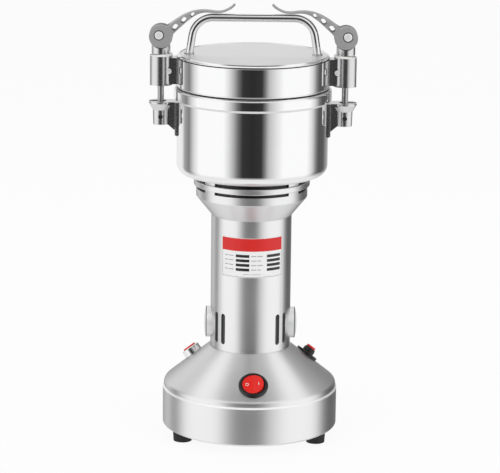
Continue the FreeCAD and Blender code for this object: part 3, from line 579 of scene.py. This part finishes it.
def make_base_trim():
    """The cone's lower edge with its bright bevel, and the flush screws of the bottom plate."""
    top = cone_height(SHOULDER_INNER) + SHOULDER_LIFT
    shoulder = [(BEVEL_IN, BEVEL_TOP)] + shoulder_arc() + [
        (SHOULDER_INNER, top), (SHOULDER_INNER - 0.4, top - SHOULDER_SHEET),
        (SHOULDER_INNER + 2.0, SHOULDER_UNDER)]
    mesh_piece("base_shoulder", *lathe(shoulder, FINE_STEPS), materials["satin_steel"],
               "satin_steel", "base")
    bevel = [(BEVEL_OUT, BEVEL_FOOT), (BEVEL_OUT, BEVEL_LOW), (BEVEL_IN, BEVEL_TOP),
             (BEVEL_IN - 2.5, BEVEL_TOP), (BEVEL_IN - 1.2, BEVEL_FOOT)]
    mesh_piece("base_bevel", *lathe(bevel, FINE_STEPS), materials["satin_steel"],
               "satin_steel", "base", sharp=12)
    line = [(BEVEL_OUT + 0.02, BEVEL_LOW - 0.15), (BEVEL_OUT + 0.02, BEVEL_LOW + 0.05),
            (BEVEL_IN + 0.1, BEVEL_TOP), (BEVEL_IN - 0.4, BEVEL_TOP)]
    mesh_piece("base_bevel_line", *lathe(line, FINE_STEPS), bevel_steel, "bright_steel",
               "base", sharp=12)
    screw = lathe(FLUSH_SCREW, 24)
    out = Matrix.Translation((SCREW_CIRCLE, 0, 0))
    places = [Matrix.Rotation(2 * pi * i / SCREW_COUNT, 4, "Z") @ out
              for i in range(SCREW_COUNT)]
    screws = mesh_piece("base_flush_screws", *joined(*[moved(screw, p) for p in places]),
                        dark_steel_and_painted_shade, "inner_steel", "base")
    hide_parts("base_plate_screws")


def make_slot_shades():
    """Dark sheet behind the column's long slots, front and back, painted shade for the dark
    inside.
    """
    shade_sheets = [curved_patch(middle + low, middle + high, *SLOT_SHADE_HEIGHTS, *SLOT_SHADE_RADII)
              for middle in (-90, 90) for low, high in SLOT_SHADE_ANGLES]
    mesh_piece("slot_painted_shades", *joined(*shade_sheets), slot_shade_grey, "black_plastic", "base")


def handle_path():
    """Half of the handle's centre line, from its foot to just short of the bar's middle."""
    lean = radians(HANDLE_LEAN)
    corner = HANDLE_FOOT - (HANDLE_BAR - LID_TOP) * tan(lean)
    turn = pi / 2 - lean
    reach = HANDLE_BEND * tan(turn / 2)
    centre = Vector((corner - reach, 0, HANDLE_BAR - HANDLE_BEND))
    arc = [centre + HANDLE_BEND * Vector((sin(a), 0, cos(a)))
           for a in (turn * i / 20 for i in range(20, -1, -1))]
    foot = Vector((HANDLE_FOOT, 0, LID_TOP))
    leg = [foot.lerp(arc[0], i / 6) for i in range(6)]
    bar = [arc[-1].lerp(Vector((0, 0, HANDLE_BAR)), i / 6) for i in range(1, 6)]
    return leg + arc + bar


def make_handle():
    half = handle_path()
    far = [Vector((-p.x, 0, p.z)) for p in reversed(half)]
    whole = half + [Vector((0, 0, HANDLE_BAR))] + far
    bar = mesh_piece("handle_bar", *tube(whole, HANDLE_RADIUS), materials["bright_steel"],
                     "bright_steel", "lid")
    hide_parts("lid_handle")
    weld = moved(ring(HANDLE_RADIUS + 0.2, 0.4, HANDLE_WELD, steps=48),
                 Matrix.Translation((HANDLE_FOOT, 0, LID_TOP)))
    mesh_piece("handle_welds", *joined(weld, mirrored(weld)), weld_steel, "bright_steel", "lid",
               sharp=80)


def smooth_line(knots, count):
    """Points spread evenly along a smooth curve through the knots."""
    knots = [Vector(k) for k in knots]
    knots = [2 * knots[0] - knots[1]] + knots + [2 * knots[-1] - knots[-2]]
    fine = []
    for a, b, c, d in zip(knots, knots[1:], knots[2:], knots[3:]):
        for i in range(16):
            t = i / 16
            fine.append(0.5 * (2 * b + (c - a) * t + (2 * a - 5 * b + 4 * c - d) * t * t
                               + (3 * b - a - 3 * c + d) * t ** 3))
    fine.append(knots[-2])
    lengths = [0.0]
    for here, there in zip(fine, fine[1:]):
        lengths.append(lengths[-1] + (there - here).length)
    line, k = [], 0
    for i in range(count):
        want = lengths[-1] * i / (count - 1)
        while k < len(fine) - 2 and lengths[k + 1] < want:
            k += 1
        share = (want - lengths[k]) / (lengths[k + 1] - lengths[k])
        line.append(fine[k].lerp(fine[k + 1], min(1.0, share)))
    return line


def strip(tops, bottoms, widths, corner):
    """A bar between two edges of a lever's side view, as wide as told, its corners cut.

    Where the bar is thin, a cut takes no more than two fifths of its height.
    """
    points, faces = [], []
    for top, bottom, width in zip(tops, bottoms, widths):
        cut = corner / max(corner * 2.5, (top - bottom).length)
        high, low = top.lerp(bottom, cut), bottom.lerp(top, cut)
        inner = width - corner
        for p, y in ((top, inner), (high, width), (low, width), (bottom, inner),
                     (bottom, -inner), (low, -width), (high, -width), (top, -inner)):
            points.append((CAM_PLACE[0] - p.x, y, CAM_PLACE[1] + p.y))
    last = (len(tops) - 1) * 8
    for i in range(0, last, 8):
        for k in range(8):
            j = (k + 1) % 8
            faces.append([i + k, i + j, i + 8 + j, i + 8 + k])
    faces.append(list(range(8)))
    faces.append([last + k for k in range(8)])
    return points, faces


def oval_pin(inward, up, radius, length):
    """A round-ended bar across the lever's arm, which cuts one of its holes."""
    half = length / 2 - radius
    loop = [(radius * cos(a), radius * sin(a) + (half if sin(a) >= 0 else -half))
            for a in (2 * pi * (i + 0.5) / HOLE_SIDES for i in range(HOLE_SIDES))]
    tilt = Matrix.Rotation(radians(LEVER_HOLE_TILT), 4, "Y")
    place = Matrix.Translation((CAM_PLACE[0] - inward, 0, CAM_PLACE[1] + up)) @ tilt
    points = [place @ Vector((x, y, z)) for y in (-HOLE_REACH, HOLE_REACH) for x, z in loop]
    faces = [[i, (i + 1) % HOLE_SIDES, (i + 1) % HOLE_SIDES + HOLE_SIDES, i + HOLE_SIDES]
             for i in range(HOLE_SIDES)]
    return points, faces + [list(range(HOLE_SIDES)), list(range(HOLE_SIDES, 2 * HOLE_SIDES))]


def lever_shape():
    """The right lever: a forked cam disc and an arm that narrows to its thin tail."""
    tops = smooth_line(LEVER_TOP, LEVER_KNOTS)
    bottoms = smooth_line(LEVER_UNDERSIDE, LEVER_KNOTS)
    start, end = LEVER_NARROWS
    shares = [min(1.0, max(0.0, (t.x - start) / (end - start))) for t in tops]
    widths = [LEVER_HALF_WIDTH + (TAIL_HALF_WIDTH - LEVER_HALF_WIDTH) * s * s * (3 - 2 * s)
              for s in shares]
    arm = strip(tops, bottoms, widths, LEVER_CORNER)
    kept = [i for i in range(LEVER_KNOTS) if tops[i].x < HOLLOW_END]
    drop = Vector((0, LEVER_WEB))
    hollow = strip([tops[i] - drop for i in kept], [bottoms[i] - 2 * drop for i in kept],
                   [widths[i] - LEVER_SIDE for i in kept], HOLLOW_CORNER)
    flat = CAM_RADIUS - LEVER_CORNER
    face = LEVER_HALF_WIDTH - LEVER_CORNER
    disc = lathe([(0, -LEVER_HALF_WIDTH), (flat, -LEVER_HALF_WIDTH), (CAM_RADIUS, -face),
                  (CAM_RADIUS, face), (flat, LEVER_HALF_WIDTH), (0, LEVER_HALF_WIDTH)], 96)
    disc = moved(disc, facing(CAM_PLACE[0], 0, CAM_PLACE[1], (0, 1, 0)))
    x, z = PIN_PLACE[0], CAM_PLACE[1]
    fork = block((x - FORK_BACK, -FORK_HALF_WIDTH, z - FORK_REACH),
                 (x + FORK_REACH, FORK_HALF_WIDTH, z + FORK_REACH))
    steps = [("UNION", arm), ("DIFFERENCE", fork), ("DIFFERENCE", hollow)]
    steps += [("DIFFERENCE", oval_pin(*hole)) for hole in LEVER_HOLES]
    return carve(disc, steps)


def make_levers():
    right = lever_shape()
    for shape, hand in ((right, "right"), (mirrored(right), "left")):
        lever = mesh_piece("lever_arm_" + hand, *shape, materials["cast_metal"], "cast_metal",
                           "lever_" + hand)
        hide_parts("cam_lever_" + hand)


def make_heads():
    """Domed ends of the lug rivets and lever pins, each on a dark disc of painted shade round it.
    """
    x, y, z = RIVET_PLACE
    heads, shade_rings = [], []
    for side in (-1, 1):
        for front in (-1, 1):
            place = facing(side * x, front * (y - RIVET_SINK), z, (0, front, 0))
            heads.append(moved(dome(*RIVET_HEAD), place))
            # The dark disc under each head is painted shade, the shadow ring round the dome
            shade_rings.append(moved(dome(*RIVET_SHADE_RING), place))
    mesh_piece("rivet_heads", *joined(*heads), frosted_steel, "bright_steel", "lid")
    mesh_piece("rivet_painted_shade_rings", *joined(*shade_rings), dark_steel_and_painted_shade, "bright_steel", "lid")
    x, _, z = PIN_PLACE
    for side, hand in ((-1, "left"), (1, "right")):
        ends, rings = [], []
        for front in (-1, 1):
            face = facing(side * x, front * DISC_FACE, z, (0, front, 0))
            ends.append(moved(dome(*PIN_END), face))
            # The dark disc under each pin end is painted shade, the shadow ring round the dome
            rings.append(moved(dome(*PIN_SHADE_RING), face))
        mesh_piece("pin_ends_" + hand, *joined(*ends), frosted_steel, "bright_steel",
                   "lever_" + hand)
        mesh_piece("pin_painted_shade_rings_" + hand, *joined(*rings), dark_steel_and_painted_shade, "bright_steel",
                   "lever_" + hand)


def make_brush_caps():
    """Domed caps with a coin slot, each with a dark line round its crown."""
    wall = CAP_REACH - CAP_RISE
    crown = [(CAP_RADIUS * cos(i / 10 * pi / 2) ** 0.8, wall + CAP_RISE * sin(i / 10 * pi / 2))
             for i in range(1, 10)]
    profile = ([(CAP_RADIUS - 2, CAP_FOOT), (CAP_RADIUS, CAP_FOOT), (CAP_RADIUS, wall)] + crown
               + [(0, CAP_REACH), (0, CAP_REACH - 1.6), (CAP_RADIUS - 3, wall - 0.6)])
    slot = block((-CAP_SLOT_HALF_LENGTH, -CAP_SLOT_HALF_WIDTH, CAP_REACH - CAP_SLOT_DEPTH),
                 (CAP_SLOT_HALF_LENGTH, CAP_SLOT_HALF_WIDTH, CAP_REACH + 1.0))
    domed = carve(lathe(profile, 96), [("DIFFERENCE", slot)])
    rim = ring(CAP_RADIUS - 0.35, wall + 0.5, 0.5, steps=96)
    for side, hand in ((-1, "left"), (1, "right")):
        place = facing(0, 0, CAP_HEIGHT, (side, 0, 0))
        cap = mesh_piece("brush_dome_" + hand, *moved(domed, place), frosted_steel,
                         "bright_steel", "base", sharp=40)
        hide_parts("brush_cap_" + hand)
        mesh_piece("brush_dome_line_" + hand, *moved(rim, place), dark_steel_and_painted_shade,
                   "bright_steel", "base", sharp=80)


def label_part(name, areas, material, inner=-0.1, outer=0.05):
    """Curved patches on the label, each area as angles from its middle and heights."""
    middle = LABEL_TURN - 90
    patches = [curved_patch(middle + a, middle + b, low, high, LABEL_RADIUS + inner,
                            LABEL_RADIUS + outer) for a, b, low, high in areas]
    return mesh_piece(name, *joined(*patches), material, "label_film", "base")


def make_label():
    """A rating label: a bare red band over two columns of plain dashes and black boxes."""
    edge = LABEL_HALF_ANGLE
    film = label_part("label_sheet", [(-edge, edge, LABEL_LOW, LABEL_HIGH)],
                      materials["label_film"], -0.4, 0.0)
    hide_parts("label_plate")
    label_part("label_red_band", [(-edge + 0.4, edge - 0.4, BAND_LOW, LABEL_HIGH - 0.3)],
               red_print)
    low, side = LABEL_LOW + 0.5, edge - 0.6
    label_part("label_border", [(-side, side, low, low + BORDER_HEIGHT),
                                (-side, BORDER_WIDTH - side, low, BAND_LOW),
                                (side - BORDER_WIDTH, side, low, BAND_LOW)], grey_print)
    boxes, dashes = [], list(FOOT_DASHES)
    for row in range(ROW_COUNT):
        top = FIRST_ROW - ROW_PITCH * row
        boxes += [(*span, top - BOX_HEIGHT, top) for span in BOX_SPANS]
        last = (LAST_DASH[0], LAST_DASH[1] - LAST_DASH_CUT * (row % 2))
        dashes += [(*span, top - DASH_DROPS[0], top - DASH_DROPS[1])
                   for span in (*DASH_SPANS, last)]
    label_part("label_boxes", boxes, black_print)
    label_part("label_dashes", dashes, grey_print)


def on_rocker():
    """The frame of the rocker's pivot at rest, its Z out of the cone."""
    height = cone_height(SWITCH_SLANT_RADIUS)
    return (Matrix.Rotation(radians(SWITCH_AZIMUTH), 4, "Z")
            @ Matrix.Translation((SWITCH_SLANT_RADIUS, 0, height))
            @ Matrix.Rotation(radians(CONE_SLOPE), 4, "Y")
            @ Matrix.Rotation(radians(ROCKER_REST), 4, "X"))


def make_switch_marks():
    """A ring for OFF and a bar for ON, printed on the rocker's two wings."""
    low, high = MARK_HEIGHTS
    inner, outer = OFF_RADII
    off = moved(lathe([(inner, low), (outer, low), (outer, high), (inner, high)], 40),
                Matrix.Translation((0, -MARK_PLACE, 0)))
    on = block((-ON_HALF_LENGTH, MARK_PLACE - ON_HALF_WIDTH, low),
               (ON_HALF_LENGTH, MARK_PLACE + ON_HALF_WIDTH, high))
    points, faces = joined(off, on)
    rise = tan(radians(ROCKER_WING))
    raised = [(x, y, ROCKER_TOP + abs(y) * rise + z) for x, y, z in points]
    mesh_piece("switch_marks", *moved((raised, faces), on_rocker()), white_print, "pad_white",
               "rocker")


def make_clamp_welds():
    """Weld beads where the lug necks meet the lid and the brackets meet the bowl."""
    neck, plate = [], []
    for turn in (180, 0):
        for edge in (-1, 1):
            middle = turn + edge * NECK_WELD_ANGLE
            neck.append(curved_patch(middle - NECK_WELD_HALF, middle + NECK_WELD_HALF,
                                     *NECK_WELD_HEIGHTS, LID_RADIUS - WELD_ROOT,
                                     LID_RADIUS + NECK_WELD_OUT))
        plate.append(curved_patch(turn - PLATE_WELD_HALF, turn + PLATE_WELD_HALF,
                                  *PLATE_WELD_HEIGHTS, LID_RADIUS - WELD_ROOT,
                                  LID_RADIUS + PLATE_WELD_OUT))
    mesh_piece("lug_welds", *joined(*neck), weld_steel, "clamp_steel", "lid")
    mesh_piece("bracket_welds", *joined(*plate), weld_steel, "clamp_steel", "base")


# ---------------------------------------------------------------- studio, in metres

# Display grey of what the metal reflects, by angle round from the camera's side
STUDIO_BANDS = [
    (-180, 222), (-150, 236), (-134, 232), (-125, 160), (-112, 128), (-100, 214), (-88, 252),
    (-44, 252), (-36, 222), (-29, 178), (-22, 112), (-15, 52), (0, 44), (14, 52), (19, 120),
    (25, 190), (36, 224), (48, 252), (92, 252), (103, 214), (113, 130), (121, 84), (137, 88),
    (146, 130), (160, 165), (180, 222)]
# By height from straight down, 0, to straight up, 1: the share of what follows that takes over
# from the bands, and its light, a pale floor, a soft ring overhead and a dark zenith
HEIGHT_SHARE = [(0.0, 1.0), (0.2, 1.0), (0.34, 0.0), (0.6, 0.0), (0.74, 0.4), (0.84, 0.4),
                (0.875, 1.0), (1.0, 1.0)]
HEIGHT_LIGHT = [(0.0, 0.85), (0.5, 0.72), (0.82, 0.72), (0.875, 0.95), (0.945, 0.95),
                (0.972, 0.16), (1.0, 0.07)]
ROOM_STRENGTH = 1.08
FLOOR_HALF = 6.0
FLOOR_DROP = 0.0002
# The share of white in the floor as the camera sees it
FLOOR_WHITE = 0.9
LAMP_TARGET = Vector((0, 0, 0.22))


def make_world():
    """A ring of bands that the metal reflects, white where the camera sees it."""
    world = bpy.data.worlds.new("studio")
    bpy.context.scene.world = world
    world.use_nodes = True
    make = Maker(world.node_tree)
    way = make.add("ShaderNodeTexCoord").outputs["Generated"]
    parts = make.add("ShaderNodeSeparateXYZ", {0: way}).outputs
    back = make.math("MULTIPLY", parts["Y"], -1.0)
    turn = make.math("ARCTAN2", parts["X"], back)
    place = make.math("MULTIPLY_ADD", turn, 0.5 / pi, 0.5)
    stops = [(0.5 + angle / 360.0, linear(value)) for angle, value in STUDIO_BANDS]
    bands = make.ramp(place, stops)
    height = make.math("MULTIPLY_ADD", parts["Z"], 0.5, 0.5)
    room = make.mix(make.ramp(height, HEIGHT_SHARE), bands, make.ramp(height, HEIGHT_LIGHT))
    light = make.add("ShaderNodeBackground", {"Color": room, "Strength": ROOM_STRENGTH})
    seen = make.add("ShaderNodeBackground", {"Color": grey(1.0), "Strength": 1.0})
    path = make.add("ShaderNodeLightPath").outputs
    shown = make.add("ShaderNodeMixShader", {0: path["Is Camera Ray"], 1: light.outputs[0],
                                             2: seen.outputs[0]})
    make.add("ShaderNodeOutputWorld", {"Surface": shown.outputs[0]})


def make_floor():
    mesh = bpy.data.meshes.new("floor")
    size = FLOOR_HALF
    mesh.from_pydata([(-size, -size, 0), (size, -size, 0), (size, size, 0), (-size, size, 0)],
                     [], [(0, 1, 2, 3)])
    floor = bpy.data.objects.new("floor", mesh)
    bpy.context.scene.collection.objects.link(floor)
    floor.location.z = -FLOOR_DROP
    floor.visible_glossy = False
    material, make = new_material("pale_floor")
    cloth = make.add("ShaderNodeBsdfDiffuse", {"Color": grey(0.86)})
    glow = make.add("ShaderNodeEmission", {"Color": grey(1.0), "Strength": 1.0})
    path = make.add("ShaderNodeLightPath").outputs
    share = make.math("MULTIPLY", path["Is Camera Ray"], FLOOR_WHITE)
    both = make.add("ShaderNodeMixShader", {0: share, 1: cloth.outputs[0], 2: glow.outputs[0]})
    make.add("ShaderNodeOutputMaterial", {"Surface": both.outputs[0]})
    mesh.materials.append(material)


def area_light(name, place, size, power):
    """A square lamp aimed at the mill's middle, unseen and unreflected."""
    data = bpy.data.lights.new(name, "AREA")
    data.shape = "SQUARE"
    data.size = size
    data.energy = power
    lamp = bpy.data.objects.new(name, data)
    bpy.context.scene.collection.objects.link(lamp)
    lamp.location = place
    lamp.rotation_mode = "QUATERNION"
    lamp.rotation_quaternion = (LAMP_TARGET - Vector(place)).to_track_quat("-Z", "Y")
    lamp.visible_glossy = False
    lamp.visible_camera = False


def make_lights():
    area_light("key_left", (-1.4, -1.6, 1.5), 1.2, 10.0)
    area_light("key_right", (1.5, -1.5, 1.2), 1.2, 8.0)
    area_light("top", (0.0, 0.2, 2.2), 1.5, 7.0)


make_camera()
make_world()
make_floor()
make_lights()
dress_nodes()
make_lid_trim()
make_vent_shade()
make_base_trim()
make_slot_shades()
make_handle()
make_levers()
make_heads()
make_brush_caps()
make_label()
make_switch_marks()
make_clamp_welds()
bpy.context.scene.view_settings.view_transform = "Standard"
